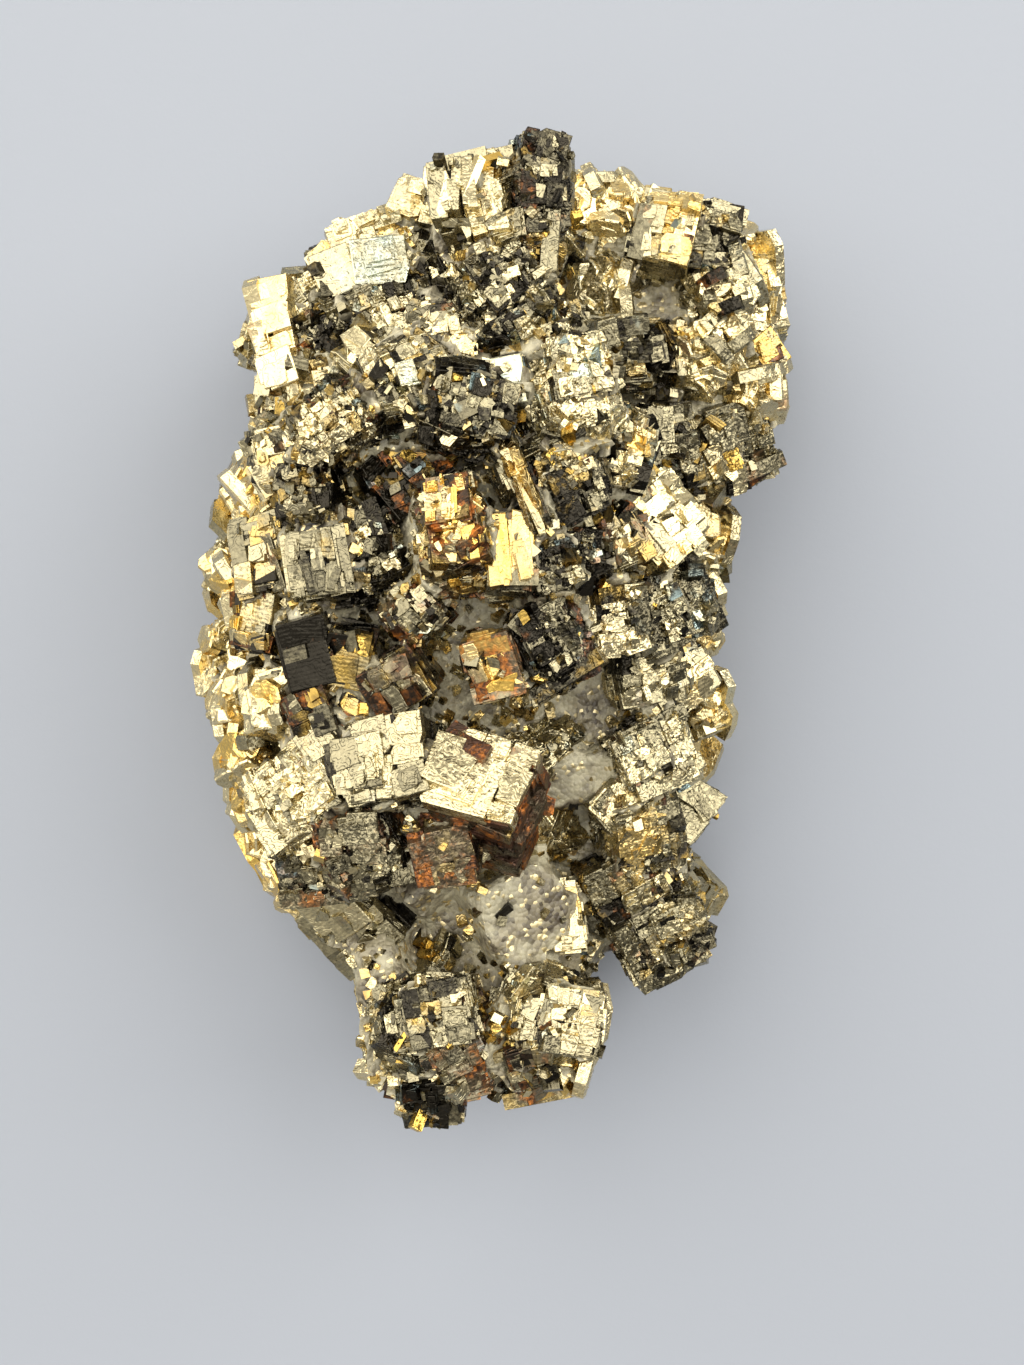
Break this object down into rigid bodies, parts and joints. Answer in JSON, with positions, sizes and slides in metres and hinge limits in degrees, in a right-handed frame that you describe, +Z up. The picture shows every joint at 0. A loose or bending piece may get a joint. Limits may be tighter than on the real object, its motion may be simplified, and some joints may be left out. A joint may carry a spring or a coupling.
{
  "type": "pyrite specimen",
  "caption": "Natural pyrite crystal cluster: blocky, stepped, intergrown metallic crystals on an irregular lump with a flat broken base.",
  "frame": {"origin": "on the flat broken base, under the middle of the lump's box", "axes": "+Z up from the base, +Y along the lump's length towards its tallest crystals, +X towards its lower side lobe"},
  "size_m": [0.0472, 0.0724, 0.0304],
  "materials": {
    "pyrite": "natural metallic, striated, part tarnished"
  },
  "bodies": {
    "root": {"pyrite_cluster": "pyrite"}
  },
  "joints": []
}
